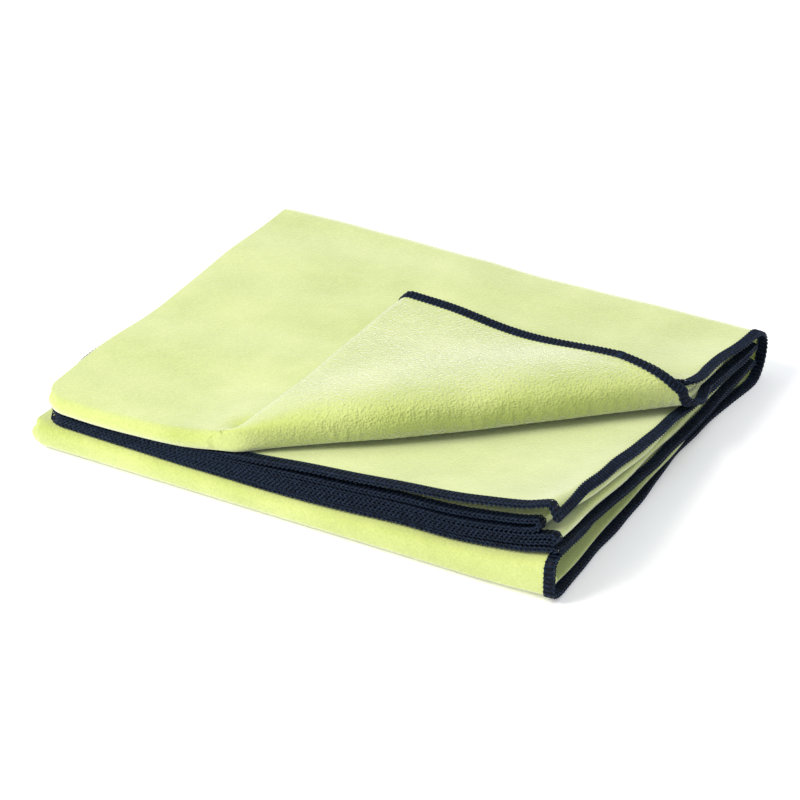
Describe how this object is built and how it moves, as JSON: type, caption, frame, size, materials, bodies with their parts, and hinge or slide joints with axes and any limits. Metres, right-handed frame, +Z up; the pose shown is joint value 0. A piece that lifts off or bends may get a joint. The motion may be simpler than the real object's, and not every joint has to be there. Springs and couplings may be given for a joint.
{
  "type": "quick dry towel",
  "caption": "Folded microfibre travel towel with overlocked edges; one top corner is turned back, and the pack opens like a book at its back fold.",
  "frame": {"origin": "centre of the pack's footprint, on the surface that it lies on", "axes": "+X along the open front edge from left to right, +Y from the front edge to the back fold, +Z up through the leaves"},
  "size_m": [0.254, 0.2116, 0.0467],
  "materials": {
    "cloth": "brushed microfibre, lime green",
    "edging": "overlocked polyester thread, dark navy"
  },
  "bodies": {
    "lower_half": {"bottom_leaf_cloth": "cloth", "bottom_leaf_right_hem": "edging", "bottom_leaf_left_hem": "edging", "lower_middle_leaf_cloth": "cloth", "lower_middle_front_hem": "edging", "lower_middle_right_hem": "edging", "lower_middle_left_hem": "edging", "back_fold_cloth": "cloth", "back_fold_right_hem": "edging", "back_fold_left_hem": "edging"},
    "upper_half": {"upper_middle_leaf_cloth": "cloth", "upper_middle_front_hem": "edging", "upper_middle_right_hem": "edging", "upper_middle_left_hem": "edging", "top_leaf_cloth": "cloth", "top_leaf_right_hem": "edging", "top_leaf_left_hem": "edging"},
    "turned_corner": {"turned_corner_cloth": "cloth", "turned_corner_hem": "edging"}
  },
  "joints": [
    {"name": "book_fold", "type": "hinge", "parent": "lower_half", "child": "upper_half", "pos_m": [0, 0.11308, 0.01275], "axis": [-1, 0, 0], "range_deg": [0, 165], "deforming": ["back_fold_cloth", "back_fold_right_hem", "back_fold_left_hem"]},
    {"name": "corner_fold", "type": "hinge", "parent": "upper_half", "child": "turned_corner", "pos_m": [0.0495, -0.02733, 0.0363], "axis": [0.7023, 0.7114, -0.026], "range_deg": [0, 155]}
  ]
}
